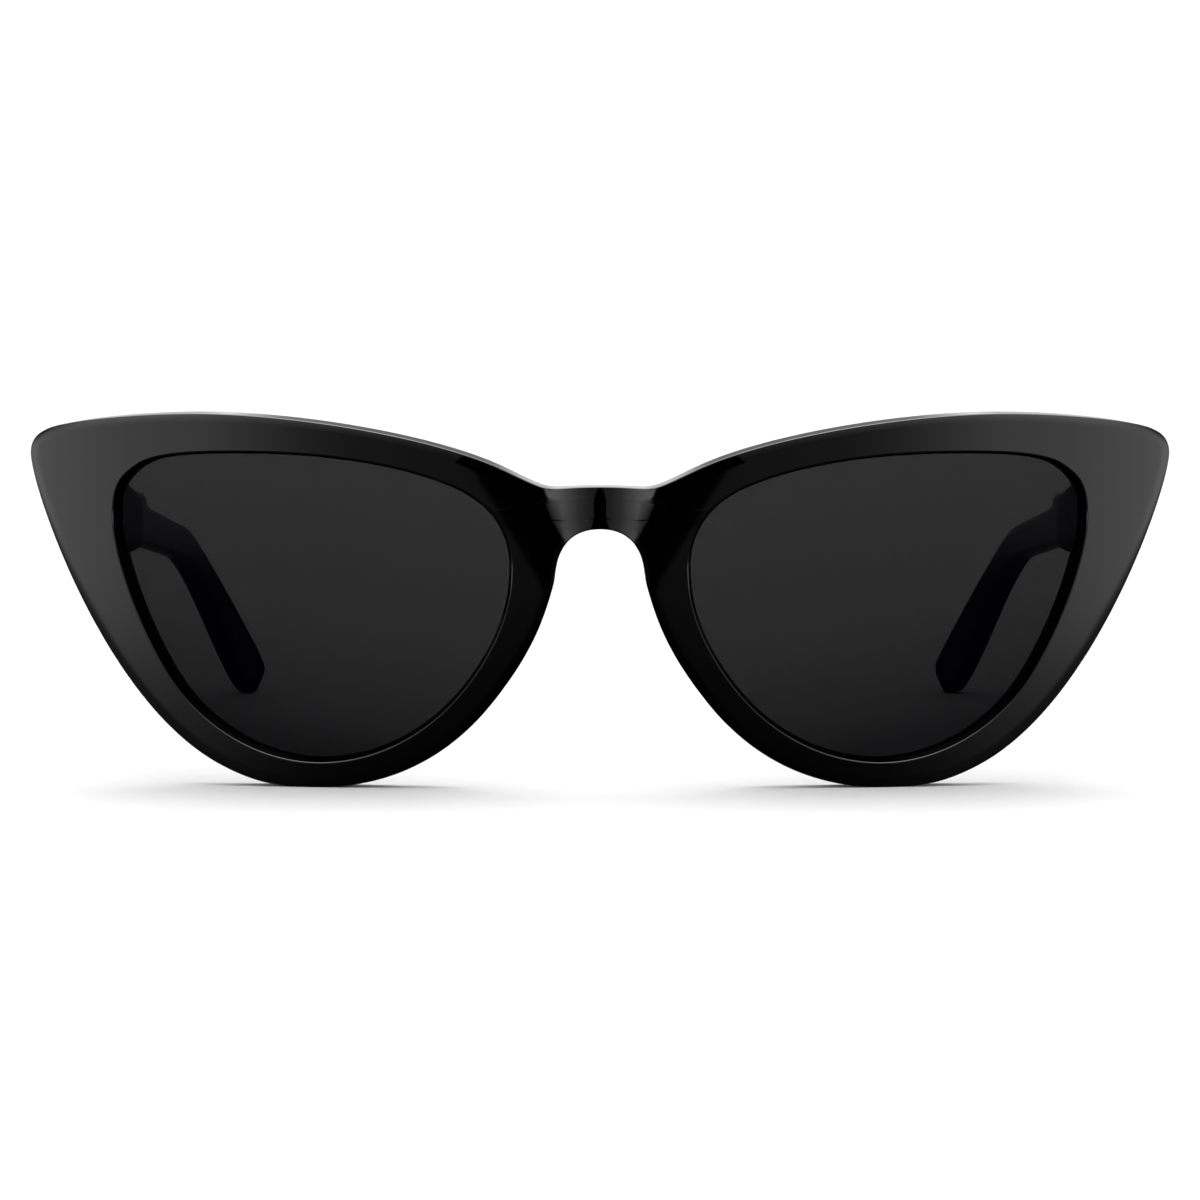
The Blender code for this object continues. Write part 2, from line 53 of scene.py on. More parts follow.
MM = 0.001
LENS_WIDTH = 50.7
LENS_HEIGHT = 38.75
BRIDGE_WIDTH = 23.0
FRONT_THICKNESS = 4.4
FACE_RADIUS = 270.0
RIM_BOTTOM = 3.55
BRIDGE_TOP = 38.4
BRIDGE_HEIGHT = 5.35
EDGE_ROUNDING = 0.16
EDGE_ROLL = 0.035
ROLL_WIDTH = 1.3
LIP_ROUNDING = 0.18
OPENING_FLARE = 0.36
GROOVE_DEPTH = 0.66
LENS_SET_BACK = 1.5
LENS_THICKNESS = 2.0
SCOOP_RADIUS = 19.0
SCOOP_DEPTH = 0.9
SCOOP_LEAN = math.radians(6.8)
SCOOP_SOFTNESS = 0.05
RIM_TOP = 5.1
RIM_NASAL = 5.55
RIM_TEMPORAL = 4.75
BRIDGE_SHOULDER = 2.2
CORNER_REACH = 11.4

# Share of the lens's width and height, heading in degrees, and how far the curve keeps to that heading
# before and after the point, as shares of the lens's width.
LENS_POINTS = (
    (0.647, 1.0, 0, 0.227, 0.122),
    (0.939, 0.952, -35, 0.059, 0.049),
    (1.0, 0.786, -90, 0.079, 0.126),
    (0.815, 0.199, -132, 0.120, 0.124),
    (0.485, 0.0, -180, 0.126, 0.141),
    (0.081, 0.311, 123, 0.201, 0.108),
    (0.0, 0.636, 90, 0.079, 0.095),
    (0.136, 0.892, 24, 0.089, 0.118),
)


def lens_spot(across, up, outward=0.0, above=0.0):
    """A point of the flat front, given by its shares of the left lens's width and height."""
    return (BRIDGE_WIDTH / 2 + across * LENS_WIDTH + outward, RIM_BOTTOM + up * LENS_HEIGHT + above)


# The left half of the front's edge, from the bridge's top round the corner to the bridge's underside.
FRONT_POINTS = (
    (0.0, BRIDGE_TOP, 0, 0.0, 0.15),
    (*lens_spot(0, 0, 0.6, BRIDGE_TOP + BRIDGE_SHOULDER - RIM_BOTTOM), 25.5, 0.149, 0.182),
    (*lens_spot(0.77, 1, 0, RIM_TOP), 0, 0.256, 0.171),
    (*lens_spot(1, 1, 8.8, 3.0), -22, 0.050, 0.024),
    (*lens_spot(1, 0.979, CORNER_REACH, 0), -97, 0.051, 0.067),
    (*lens_spot(1, 0.52, RIM_TEMPORAL, 0), -117.4, 0.155, 0.166),
    (*lens_spot(0.719, 0, 0, 2.3 - RIM_BOTTOM), -155, 0.189, 0.093),
    (*lens_spot(0.491, 0, 0, -RIM_BOTTOM), -180, 0.093, 0.187),
    (*lens_spot(0, 0.2, 1.9, 0), 128, 0.184, 0.132),
    (*lens_spot(0, 0.574, -RIM_NASAL, 0), 105, 0.110, 0.033),
    (0.0, BRIDGE_TOP - BRIDGE_HEIGHT, 180, 0.116, 0.0),
)


def bezier(start, leave, arrive, end, t):
    """The place at share t along a curve that leaves and arrives by way of two handles."""
    return (1 - t) ** 3 * start + 3 * t * (1 - t) ** 2 * leave + 3 * t * t * (1 - t) * arrive + t**3 * end


def flowing_line(points, steps, closed):
    """A smooth line through the points, as an array of X and Z."""
    pairs = list(zip(points, points[1:] + points[:1] if closed else points[1:]))
    line = []
    for first, second in pairs:
        start, end = np.array(first[:2]), np.array(second[:2])
        leaving, arriving = math.radians(first[2]), math.radians(second[2])
        leave = start + np.array((math.cos(leaving), math.sin(leaving))) * first[4] * LENS_WIDTH
        arrive = end - np.array((math.cos(arriving), math.sin(arriving))) * second[3] * LENS_WIDTH
        line += [bezier(start, leave, arrive, end, step / steps) for step in range(steps)]
    if not closed:
        line.append(np.array(points[-1][:2]))
    return np.array(line)


def outward_of(line, closed):
    """Unit vectors square to a clockwise line, pointing away from the inside."""
    if closed:
        along = np.roll(line, -1, axis=0) - np.roll(line, 1, axis=0)
    else:
        along = np.gradient(line, axis=0)
    along /= np.linalg.norm(along, axis=1)[:, None]
    return np.column_stack((-along[:, 1], along[:, 0]))


lens_points = [(*lens_spot(*point[:2]), *point[2:]) for point in LENS_POINTS]
lens_line = flowing_line(lens_points, 48, True)
edge_line = flowing_line(FRONT_POINTS, 40, False)
edge_outward = outward_of(edge_line, False)
edge_outward[0] = (0, 1)
edge_outward[-1] = (0, -1)
MIDDLE_STEPS = 14


def lens_share_of(line):
    """For each point of a line, the nearest place along the lens's edge, never running backwards."""
    gaps = np.linalg.norm(line[:, None] - lens_line[None], axis=2)
    nearest = np.unwrap(gaps.argmin(axis=1) * 2 * math.pi / len(lens_line)) / (2 * math.pi)
    return np.maximum.accumulate(nearest)


def at_share(values, share):
    """Values round the closed lens edge, read between its points."""
    places = np.arange(len(values) + 1) / len(values)
    looped = np.vstack((values, values[:1]))
    return np.column_stack([np.interp(share % 1.0, places, looped[:, axis]) for axis in (0, 1)])


middle_line = np.column_stack(
    (np.zeros(MIDDLE_STEPS), np.linspace(edge_line[-1][1], edge_line[0][1], MIDDLE_STEPS + 2)[1:-1])
)
whole_line = np.vstack((edge_line, middle_line))
share = lens_share_of(whole_line)
even = share[0] + np.arange(len(share)) / len(share)
share = 0.8 * share + 0.2 * even
# The rows that end under the bridge start further up the rim, so that they don't cross the edge's hollow.
half_way = len(share) // 2
steps_away = (np.arange(len(share)) - len(edge_line) + half_way) % len(share) - half_way
BRIDGE_PUSH = 0.036
BRIDGE_SPREAD = 30
share = share + BRIDGE_PUSH * np.exp(-((steps_away / BRIDGE_SPREAD) ** 2))
kernel = np.hanning(15)
kernel /= kernel.sum()
drift = share - even
padded = np.concatenate((drift[-7:], drift, drift[:7]))
share = even + np.convolve(padded, kernel, mode="valid")
rim_line = at_share(lens_line, share)
rim_outward = at_share(outward_of(lens_line, True), share)
rim_outward /= np.linalg.norm(rim_outward, axis=1)[:, None]


def scoop(x, z):
    """How deep the hollow of the bridge lies below the flat face, with a soft edge."""
    level = z - (BRIDGE_TOP - BRIDGE_HEIGHT / 2)
    reach = np.sqrt(np.maximum(SCOOP_RADIUS**2 - x * x, 0))
    depth = (reach + level * math.sin(SCOOP_LEAN)) / math.cos(SCOOP_LEAN) - (SCOOP_RADIUS - SCOOP_DEPTH)
    depth = np.where(np.abs(x) < SCOOP_RADIUS * 0.95, depth, -1.0)
    return (depth + np.sqrt(depth * depth + SCOOP_SOFTNESS**2)) / 2


def edge_row(inset, depth, follows):
    """A row of points round the front's edge and down its middle, inset from the edge."""
    line = edge_line - edge_outward * inset
    levels = np.linspace(line[-1][1], line[0][1], MIDDLE_STEPS + 2)[1:-1]
    line = np.vstack((line, np.column_stack((np.zeros(MIDDLE_STEPS), levels))))
    return (line, depth + follows * scoop(line[:, 0], line[:, 1]))


def rim_row(outset, depth):
    """A row of points round the lens opening, outset from the lens's edge."""
    line = rim_line + rim_outward * outset
    return (line, np.full(len(line), depth))


rows = [rim_row(GROOVE_DEPTH, LENS_SET_BACK + LENS_THICKNESS / 2)]
rows.append(rim_row(0.0, LENS_SET_BACK))
wall = OPENING_FLARE / LENS_SET_BACK
for depth in (1.35, 1.0, 0.6, LIP_ROUNDING + 0.06):
    rows.append(rim_row(wall * (LENS_SET_BACK - depth), depth))
lip_foot = wall * (LENS_SET_BACK - LIP_ROUNDING)
for turn in np.linspace(0, 90, 7):
    angle = math.radians(turn)
    across = lip_foot + LIP_ROUNDING * (1 - math.cos(angle))
    rows.append(rim_row(across, LIP_ROUNDING * (1 - math.sin(angle))))
inner, _ = rows[-1]
outer, _ = edge_row(ROLL_WIDTH, 0.0, 1.0)
FACE_SHARES = (0.012, 0.05, 0.11, 0.19, 0.28, 0.37, 0.46, 0.55, 0.64, 0.73, 0.82, 0.91, 1.0)
for part in FACE_SHARES:
    line = inner * (1 - part) + outer * part
    rows.append((line, scoop(line[:, 0], line[:, 1])))
for inset in (1.1, 0.9, 0.7, 0.5, 0.4, 0.34):
    roll = EDGE_ROLL * ((ROLL_WIDTH - inset) / (ROLL_WIDTH - EDGE_ROUNDING)) ** 2
    rows.append(edge_row(inset, roll, 1.0))
for turn in np.linspace(0, 90, 8):
    angle = math.radians(turn)
    inset = EDGE_ROUNDING * (1 - math.sin(angle))
    rows.append(edge_row(inset, EDGE_ROLL + EDGE_ROUNDING * (1 - math.cos(angle)), 1.0))
for part in (0.04, 0.5, 0.96):
    depth = EDGE_ROUNDING + EDGE_ROLL + part * (FRONT_THICKNESS - EDGE_ROLL - 2 * EDGE_ROUNDING)
    rows.append(edge_row(0.0, depth, 1 - part))
for turn in np.linspace(90, 0, 7):
    angle = math.radians(turn)
    inset = EDGE_ROUNDING * (1 - math.sin(angle))
    rows.append(edge_row(inset, FRONT_THICKNESS - EDGE_ROUNDING * (1 - math.cos(angle)), 0.0))
outer, _ = rows[-1]
inner, _ = rim_row(0.2 + LIP_ROUNDING, FRONT_THICKNESS)
for part in reversed(FACE_SHARES[::2]):
    line = inner * (1 - part) + outer * part
    rows.append((line, np.full(len(line), FRONT_THICKNESS)))
for turn in np.linspace(90, 0, 5):
    angle = math.radians(turn)
    across = 0.2 + LIP_ROUNDING * (1 - math.cos(angle))
    rows.append(rim_row(across, FRONT_THICKNESS - LIP_ROUNDING * (1 - math.sin(angle))))
rows.append(rim_row(0.0, LENS_SET_BACK + LENS_THICKNESS))

fold = frame["joints"][0]
lean = math.atan2(-fold["axis"][1], fold["axis"][2])


def bent(x, y, z):
    """A point of the flat front once the front is bent round the face."""
    angle = x / FACE_RADIUS
    return ((FACE_RADIUS - y) * np.sin(angle), FACE_RADIUS - (FACE_RADIUS - y) * np.cos(angle), z)


def back_depth(x):
    """How far back the bent front's rear face lies at this distance from the middle."""
    return FACE_RADIUS - math.sqrt((FACE_RADIUS - FRONT_THICKNESS) ** 2 - x**2)


# Where the hinge's pin stands; the whole upright pair is set down by it.
BLOCK_DEPTH = 7.3
CORNER_OVERHANG = 8.3
TEMPLE_THICKNESS = 3.4
TEMPLE_BUTT_HEIGHT = 9.4
TEMPLE_TOP_DROP = 4.45
PIN_INWARD = 0.7
BARREL_RADIUS = 1.45
BARREL_STANDOFF = 0.25
HINGE_DROP = 0.55
temple_inside = bent(lens_spot(1, 1, CORNER_REACH)[0], 0, 0)[0] - CORNER_OVERHANG - TEMPLE_THICKNESS
block_back = back_depth(temple_inside) + BLOCK_DEPTH
butt_level = RIM_BOTTOM + LENS_HEIGHT - TEMPLE_TOP_DROP - TEMPLE_BUTT_HEIGHT / 2
hinge_point = Vector(
    (temple_inside - PIN_INWARD, block_back + BARREL_RADIUS + BARREL_STANDOFF, butt_level - HINGE_DROP)
)
stand = Matrix.Rotation(lean, 4, "X")
shift = Vector(fold["pos_m"]) - stand @ (hinge_point * MM)


def set_down(point):
    """A point of the upright pair, in millimetres, where it stands leaning on rims and tips, in metres."""
    return stand @ (Vector(point) * MM) + shift


def closed_solid(name, spots, faces, merge=0.0):
    """An object from points and faces, with doubles merged and its faces turned outwards."""
    mesh = bpy.data.meshes.new(name)
    mesh.from_pydata(spots, [], faces)
    skin = bmesh.new()
    skin.from_mesh(mesh)
    if merge:
        bmesh.ops.remove_doubles(skin, verts=skin.verts, dist=merge)
    bmesh.ops.recalc_face_normals(skin, faces=skin.faces)
    skin.to_mesh(mesh)
    skin.free()
    made = bpy.data.objects.new(name, mesh)
    bpy.context.scene.collection.objects.link(made)
    return made


def new_piece(name, points, faces, finish):
    """A finished piece from points of the upright pair, set down where it stands."""
    piece = closed_solid(name, [set_down(point) for point in points], faces, merge=2e-6)
    piece.data.shade_smooth()
    piece.data.materials.append(finish)
    return piece


class Value:
    """A number or colour that flows between the nodes of a finish, so that its maths reads as sums."""

    def __init__(self, finish, socket):
        self.finish = finish
        self.socket = socket

    def _sum(self, operation, first, second):
        return self.finish.node("ShaderNodeMath", {"operation": operation}, {0: first, 1: second})

    def __add__(self, other):
        return self._sum("ADD", self, other)

    def __radd__(self, other):
        return self._sum("ADD", other, self)

    def __sub__(self, other):
        return self._sum("SUBTRACT", self, other)

    def __rsub__(self, other):
        return self._sum("SUBTRACT", other, self)

    def __mul__(self, other):
        return self._sum("MULTIPLY", self, other)

    def __rmul__(self, other):
        return self._sum("MULTIPLY", other, self)

    def __truediv__(self, other):
        return self._sum("DIVIDE", self, other)


class Finish:
    """The nodes of one finish."""

    def __init__(self, tree):
        self.tree = tree
        tree.nodes.clear()

    def node(self, kind, settings=None, sockets=None, out=0):
        """Adds a node of this kind: settings first, then values or links of its sockets."""
        made = self.tree.nodes.new(kind)
        for key, value in (settings or {}).items():
            if key == "stops":
                stops = made.color_ramp.elements
                while len(stops) < len(value):
                    stops.new(1.0)
                for stop, (place, level) in zip(stops, value):
                    stop.position = place
                    stop.color = (level, level, level, 1)
            else:
                setattr(made, key, value)
        for key, value in (sockets or {}).items():
            if isinstance(value, Value):
                self.tree.links.new(value.socket, made.inputs[key])
            else:
                made.inputs[key].default_value = value
        return Value(self, made.outputs[out]) if made.outputs else None


def new_finish(name):
    material = bpy.data.materials.new(name)
    material.use_nodes = True
    return material, Finish(material.node_tree)


def acetate(name, black, haze, wave):
    """Polished acetate: deep colour, faint drift in its polish, and the soft waviness of a buffed face."""
    material, finish = new_finish(name)
    place = finish.node("ShaderNodeTexCoord", out=3)
    drift = finish.node("ShaderNodeTexNoise", sockets={"Vector": place, "Scale": 90.0, "Detail": 3.0})
    buffing = finish.node("ShaderNodeTexNoise", sockets={"Vector": place, "Scale": 900.0, "Detail": 4.0})
    deep = finish.node(
        "ShaderNodeMix",
        {"data_type": "RGBA"},
        {
            0: drift,
            6: (black * 0.5, black * 0.5, black * 0.6, 1),
            7: (black * 1.5, black * 1.4, black * 1.4, 1),
        },
        out=2,
    )
    swell = finish.node("ShaderNodeBump", sockets={"Height": drift, "Strength": 1.0, "Distance": wave})
    shader = finish.node(
        "ShaderNodeBsdfPrincipled",
        sockets={"Base Color": deep, "Roughness": haze + buffing * 0.008, "IOR": 1.49, "Normal": swell},
    )
    finish.node("ShaderNodeOutputMaterial", sockets={"Surface": shader})
    return material


black_acetate = acetate("black_acetate_polished", 0.00012, 0.018, 0.000002)

points = []
for line, depth in rows:
    for (x, z), y in zip(line, depth):
        points.append(bent(x, y, z))
count = len(whole_line)
faces = []
for row in range(len(rows)):
    after = (row + 1) % len(rows)
    for index in range(count):
        near = (index + 1) % count
        corners = (row * count + index, row * count + near, after * count + near, after * count + index)
        if any(abs(points[corner][0]) > 1e-6 for corner in corners):
            faces.append(corners)
total = len(points)
points += [(-x, y, z) for x, y, z in points]
faces += [tuple(total + corner for corner in reversed(face)) for face in faces]
front = new_piece("acetate_front", points, faces, black_acetate)
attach(front, "front")
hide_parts("front_frame")

# ---------------------------------------------------------------------------------------------------
# Lenses. Two smoke grey lenses, cast domed, then cut to the rims' shape and bevelled all round to snap into
# the groove. Their see-through is darkened towards the bottom and the temple side: painted shade for the
# shadowed table behind them.
# ---------------------------------------------------------------------------------------------------

LENS_GAP = 0.06
LENS_BULGE = 1.1
BEVEL_REACH = 0.6
SIDES = (("left", 1), ("right", -1))

smoke_grey, finish = new_finish("smoke_grey_lens")
place = finish.node("ShaderNodeTexCoord", out=3)
streaks = finish.node("ShaderNodeTexNoise", sockets={"Vector": place, "Scale": 160.0, "Detail": 4.0})
level = finish.node("ShaderNodeSeparateXYZ", sockets={0: place}, out=2)
across = finish.node("ShaderNodeSeparateXYZ", sockets={0: place})
sideways = finish.node("ShaderNodeMath", {"operation": "ABSOLUTE"}, {0: across})
# Painted shade: the lens is made denser towards the bottom and the temple side, standing in for the shadowed
# table seen through it.
NOSE_SIDE = 0.025
SHADE_SLANT = 0.2
SHADE_HEIGHT = 0.04
climb = (level - (sideways - NOSE_SIDE) * SHADE_SLANT) / SHADE_HEIGHT
# How dense the lens is at each share of the height: its own smoke tint, plus painted shade growing towards
# the bottom for the shadowed table seen through it.
smoke_and_shade_stops = (
    (0.075, 0.922),
    (0.163, 0.9005),
    (0.225, 0.893),
    (0.385, 0.877),
    (0.45, 0.869),
    (0.7, 0.859),
    (0.9, 0.848),
    (1.0, 0.845),
)
smoke_and_shade = finish.node("ShaderNodeValToRGB", {"stops": smoke_and_shade_stops}, {0: climb})
body = finish.node(
    "ShaderNodeMix",
    {"data_type": "RGBA"},
    {0: streaks, 6: (0.0002, 0.0001, 0.0010, 1), 7: (0.0003, 0.0002, 0.0014, 1)},
    out=2,
)
shader = finish.node(
    "ShaderNodeBsdfPrincipled",
    sockets={
        "Base Color": body,
        "Roughness": 0.02 + streaks * 0.02,
        "IOR": 1.5,
        "Specular IOR Level": 0.02,
        "Alpha": smoke_and_shade,
    },
)
finish.node("ShaderNodeOutputMaterial", sockets={"Surface": shader})

lens_outward = outward_of(lens_line, True)
lens_edge = lens_line - lens_outward * LENS_GAP
lens_middle = lens_edge.mean(axis=0)
near_face = LENS_SET_BACK + LENS_GAP
far_face = LENS_SET_BACK + LENS_THICKNESS - LENS_GAP
RING_SHARES = (0.06, 0.12, 0.2, 0.28, 0.36, 0.44, 0.52, 0.6, 0.68, 0.76, 0.83, 0.89, 0.94, 0.975, 1.0)


def domed_ring(part, face):
    """A ring at this share of the way to the lens's edge, on one of its two domed faces."""
    return lens_middle + (lens_edge - lens_middle) * part, face - LENS_BULGE * (1 - part * part)


def tube_faces(rows, count):
    """The faces between rings of equal count."""
    faces = []
    for start in range(0, (rows - 1) * count, count):
        for index in range(count):
            near = (index + 1) % count
            faces.append((start + index, start + near, start + count + near, start + count + index))
    return faces


rings = [domed_ring(part, near_face) for part in RING_SHARES]
rings.append((lens_edge + lens_outward * BEVEL_REACH, (near_face + far_face) / 2))
rings += [domed_ring(part, far_face) for part in reversed(RING_SHARES)]
points = [bent(x, depth, z) for ring, depth in rings for x, z in ring]
count = len(lens_line)
faces = tube_faces(len(rings), count)
for first, depth in ((0, near_face), ((len(rings) - 1) * count, far_face)):
    points.append(bent(lens_middle[0], depth - LENS_BULGE, lens_middle[1]))
    pole = len(points) - 1
    faces += [(first + index, first + (index + 1) % count, pole) for index in range(count)]


def only(piece):
    """Selects this piece alone."""
    bpy.ops.object.select_all(action="DESELECT")
    piece.select_set(True)
    bpy.context.view_layer.objects.active = piece


def smooth_below(piece, degrees):
    """Shades a piece smooth, but keeps edges sharper than this."""
    only(piece)
    bpy.ops.object.shade_smooth_by_angle(angle=math.radians(degrees))


for name, side in SIDES:
    lens = new_piece(f"{name}_smoke_lens", [(side * x, y, z) for x, y, z in points], faces, smoke_grey)
    smooth_below(lens, 25)
    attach(lens, "front")
    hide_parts(f"{name}_lens")

# ---------------------------------------------------------------------------------------------------
# Temples. Two flat acetate arms, slim over the ear, bent down and in to a rounded tip and tumbled smooth.
# The butt is milled for the temple leaf and its barrels, and bored for the core wire.
# ---------------------------------------------------------------------------------------------------

TEMPLE_SLOPE = math.radians(7.4)
TEMPLE_EASING = TEMPLE_THICKNESS * 0.3
TEMPLE_STRAIGHT = 90.0
EAR = Vector((-8.6, 30.8, -23.3))
TIP_HEIGHT = 6.0
BUTT_GAP = 0.06
WIRE_THICKNESS = 0.9
WIRE_HEIGHT = 2.0
WIRE_OUTWARD = 0.4
WIRE_STOP = 11.0
HINGE_HEIGHT = 5.8
LEAF_THICKNESS = 1.1
TEMPLE_LEAF_LENGTH = 9.5
SWING_GAP = 0.2
INLAY_GAP = 0.1


def temple_path(steps):
    """Points along the left temple's middle, with their share of its length."""
    start = Vector((temple_inside + TEMPLE_THICKNESS / 2, block_back + BUTT_GAP, butt_level))
    straight = Vector((0, 1, -math.tan(TEMPLE_SLOPE)))
    bend = start + straight * TEMPLE_STRAIGHT
    end = bend + EAR
    leave = bend + straight * EAR.y * 0.9
    arrive = end - Vector((-0.45, 1, -1)).normalized() * EAR.y * 0.2
    path = [start.lerp(bend, step / steps) for step in range(steps)]
    path += [bezier(bend, leave, arrive, end, step / steps) for step in range(steps + 1)]
    runs = np.cumsum([0] + [(b - a).length for a, b in zip(path, path[1:])])
    return list(zip(path, runs / runs[-1]))


def temple_height(part):
    """Deep at the hinge, slim over the ear and fuller again at the tip."""
    butt, slim = TEMPLE_BUTT_HEIGHT, TIP_HEIGHT * 0.8
    shares = (0.0, 0.06, 0.14, 0.30, 0.62, 0.85, 1.0)
    heights = (butt, butt * 0.86, butt * 0.64, butt * 0.55, slim, slim * 1.05, TIP_HEIGHT)
    return float(np.interp(part, shares, heights))


def path_frame(path, index):
    """The ways along, outward and upward at one point of the path."""
    before, after = path[max(index - 1, 0)][0], path[min(index + 1, len(path) - 1)][0]
    along = (after - before).normalized()
    outward = Vector((along.y, -along.x, 0)).normalized()
    square = outward.cross(along).normalized()
    upright_until = 0.1
    turned = min(1.0, path[index][1] / upright_until)
    return along, outward, Vector((0, 0, 1)).lerp(square, turned).normalized()


def rounded_section(width, height, radius, steps):
    """Corners of a rounded rectangle."""
    ring = []
    for quarter in range(4):
        across = 1 if quarter in (0, 3) else -1
        up = 1 if quarter in (0, 1) else -1
        for step in range(steps + 1):
            turn = math.radians(90 * (quarter + step / steps))
            x = across * (width / 2 - radius) + radius * math.cos(turn)
            z = up * (height / 2 - radius) + radius * math.sin(turn)
            ring.append((x, z))
    return ring


def lofted(name, rings):
    """A solid through rings of equal count, closed at both ends, in millimetres of the upright pair."""
    count = len(rings[0])
    spots = [Vector(spot) * MM for ring in rings for spot in ring]
    ends = [tuple(range(count)), tuple(range(len(spots) - count, len(spots)))]
    return closed_solid(name, spots, ends + tube_faces(len(rings), count))


def upright_box(low, high):
    """A block between two corners, in millimetres of the upright pair."""
    low, high = Vector(low), Vector(high)
    bpy.ops.mesh.primitive_cube_add(size=1.0, location=(0, 0, 0))
    made = bpy.context.active_object
    size = Matrix.Diagonal((*((high - low) * MM), 1.0))
    made.data.transform(Matrix.Translation((low + high) / 2 * MM) @ size)
    return made


def upright_barrel(radius, foot, top, steps=40):
    """A round bar up the hinge's axis between two levels."""
    size = {"radius": radius * MM, "depth": (top - foot) * MM, "vertices": steps}
    spot = Vector((hinge_point.x, hinge_point.y, (foot + top) / 2)) * MM
    bpy.ops.mesh.primitive_cylinder_add(location=(0, 0, 0), **size)
    made = bpy.context.active_object
    made.data.transform(Matrix.Translation(spot))
    return made


def eased(piece, width, steps=3):
    """Takes the sharpness off all of a piece's hard edges."""
    only(piece)
    bevel = piece.modifiers.new("eased edges", "BEVEL")
    bevel.width = width * MM
    bevel.segments = steps
    bevel.limit_method = "ANGLE"
    bevel.angle_limit = math.radians(35)
    bpy.ops.object.modifier_apply(modifier=bevel.name)
    return piece


def worked(piece, tools, operation):
    """Cuts each tool out of a piece, or joins it on, and takes the tool away."""
    for tool in tools:
        only(piece)
        step = piece.modifiers.new("step", "BOOLEAN")
        step.operation = operation
        step.solver = "EXACT"
        step.object = tool
        bpy.ops.object.modifier_apply(modifier=step.name)
        bpy.data.objects.remove(tool)
    return piece


def stood(piece, name, side, finish, body, node):
    """A copy of an upright left piece, turned over for the right and set down to ride its body."""
    mesh = piece.data.copy()
    mesh.name = name
    if side < 0:
        mesh.transform(Matrix.Diagonal((-1, 1, 1, 1)))
        mesh.flip_normals()
    mesh.transform(Matrix.Translation(shift) @ stand)
    mesh.materials.clear()
    mesh.materials.append(finish)
    made = bpy.data.objects.new(name, mesh)
    bpy.context.scene.collection.objects.link(made)
    smooth_below(made, 40)
    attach(made, body)
    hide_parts(node)
    return made


path = temple_path(36)
rings = []
for index, (point, part) in enumerate(path):
    along, outward, upward = path_frame(path, index)
    ring = rounded_section(TEMPLE_THICKNESS, temple_height(part), TEMPLE_EASING, 5)
    rings.append([point + outward * x + upward * z for x, z in ring])
for angle in range(12, 90, 12):
    shrink = math.cos(math.radians(angle))
    step = along * math.sin(math.radians(angle)) * TIP_HEIGHT / 2
    ring = rounded_section(TEMPLE_THICKNESS * shrink, TIP_HEIGHT * shrink, TEMPLE_EASING * shrink, 5)
    rings.append([point + step + outward * x + upward * z for x, z in ring])
temple = lofted("temple", rings)
run = sum((second[0] - first[0]).length for first, second in zip(path, path[1:]))
wire_path = [(point, part) for point, part in path if part * run <= run - WIRE_STOP]
bore_size = (WIRE_THICKNESS + 2 * INLAY_GAP, WIRE_HEIGHT + 2 * INLAY_GAP, WIRE_THICKNESS * 0.25)
rings = []
for index, (point, part) in enumerate(wire_path):
    along, outward, upward = path_frame(path, index)
    middle = point + outward * WIRE_OUTWARD - along * (1.0 if index == 0 else 0.0)
    rings.append([middle + outward * x + upward * z for x, z in rounded_section(*bore_size, 2)])
channel = lofted("channel", rings)
half = HINGE_HEIGHT / 2 + INLAY_GAP
recess_end = hinge_point.y + TEMPLE_LEAF_LENGTH + INLAY_GAP
recess = upright_box(
    (temple_inside - 1.0, hinge_point.y, hinge_point.z - half),
    (temple_inside + LEAF_THICKNESS + INLAY_GAP, recess_end, hinge_point.z + half),
)
reach = TEMPLE_BUTT_HEIGHT
pocket = upright_barrel(BARREL_RADIUS + SWING_GAP, hinge_point.z - reach, hinge_point.z + reach, 64)
worked(temple, [channel, recess, pocket], "DIFFERENCE")
for name, side in SIDES:
    arm, node = f"{name}_arm", f"{name}_temple"
    stood(temple, f"{name}_acetate_temple", side, black_acetate, arm, node)
bpy.data.objects.remove(temple)

# ---------------------------------------------------------------------------------------------------
# Nose pads. Two humps of the same acetate, filed to a splay, tumbled to a satin and cemented to the back
# of the rims beside the nose.
# ---------------------------------------------------------------------------------------------------

PAD_HEIGHT = 4.4
PAD_WIDTH = 3.9
PAD_INSET = 0.4
PAD_SPLAY = 0.25
GLUE_GAP = 0.05
ARCH_STEPS = 19

pad_acetate = acetate("black_acetate_satin", 0.0006, 0.16, 0.000006)
# The pad follows the nose's stretch of the front's edge.
nose_stretch = FRONT_POINTS[8:10]
pad_line = flowing_line(nose_stretch, 42, False)[3:-2]
pad_inward = -outward_of(pad_line, False)
points = []
for index, (spot, inward) in enumerate(zip(pad_line, pad_inward)):
    swell = math.sin(math.pi * (index + 0.6) / (len(pad_line) + 0.2))
    for turn in np.linspace(0, math.pi, ARCH_STEPS):
        swing = PAD_HEIGHT * swell**0.7 * math.sin(turn)
        reach = PAD_INSET + PAD_WIDTH * (0.6 + 0.4 * swell) * (1 - math.cos(turn)) / 2 + PAD_SPLAY * swing
        x, z = spot + inward * reach
        points.append(bent(x, FRONT_THICKNESS + GLUE_GAP + swing, z))
faces = [tuple(range(ARCH_STEPS)), tuple(range(len(points) - ARCH_STEPS, len(points)))]
faces += tube_faces(len(pad_line), ARCH_STEPS)
for name, side in SIDES:
    pad = new_piece(f"{name}_pad_hump", [(side * x, y, z) for x, y, z in points], faces, pad_acetate)
    smooth_below(pad, 40)
    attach(pad, "front")
    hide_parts(f"{name}_nose_pad")

# ---------------------------------------------------------------------------------------------------
# End blocks. A foot of acetate cemented behind each corner, cut away above the hinge, rounded below it,
# and mortised for the hinge leaf. The temple's butt closes against its back.
# ---------------------------------------------------------------------------------------------------

